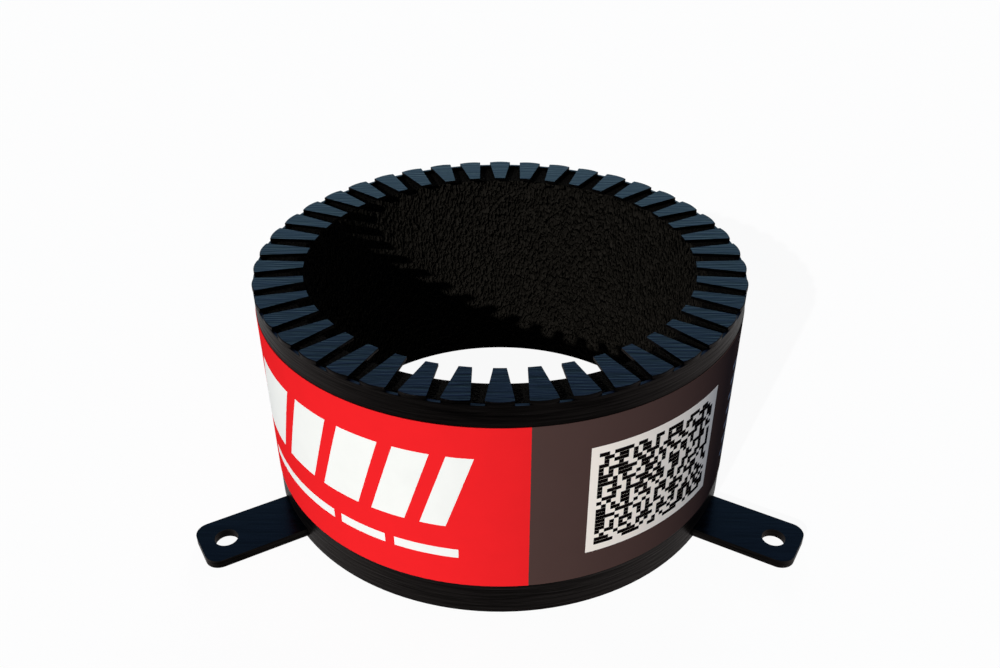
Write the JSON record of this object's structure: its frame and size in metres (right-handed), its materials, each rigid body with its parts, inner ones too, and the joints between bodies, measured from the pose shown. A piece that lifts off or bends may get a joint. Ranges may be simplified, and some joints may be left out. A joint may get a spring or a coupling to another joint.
{
  "type": "pipe fire collar",
  "caption": "Round fire collar for a plastic pipe: sheet-steel casing with a crown of inward folded tabs, an intumescent liner, a wrap-round label and flat fixing lugs.",
  "frame": {"origin": "on the pipe axis, in the plane of the collar's base", "axes": "+Z along the pipe axis towards the crown of tabs, -Y the front with the label's two fields side by side, +X to the right seen from the front"},
  "size_m": [0.2536, 0.2433, 0.1014],
  "materials": {
    "casing_paint": "satin",
    "lug_paint": "satin",
    "liner_mat": "matte",
    "label_film": "semi-gloss"
  },
  "bodies": {
    "root": {"casing": "casing_paint", "liner": "liner_mat", "label": "label_film", "lug_left": "lug_paint", "lug_right": "lug_paint", "lug_rear": "lug_paint"}
  },
  "joints": []
}
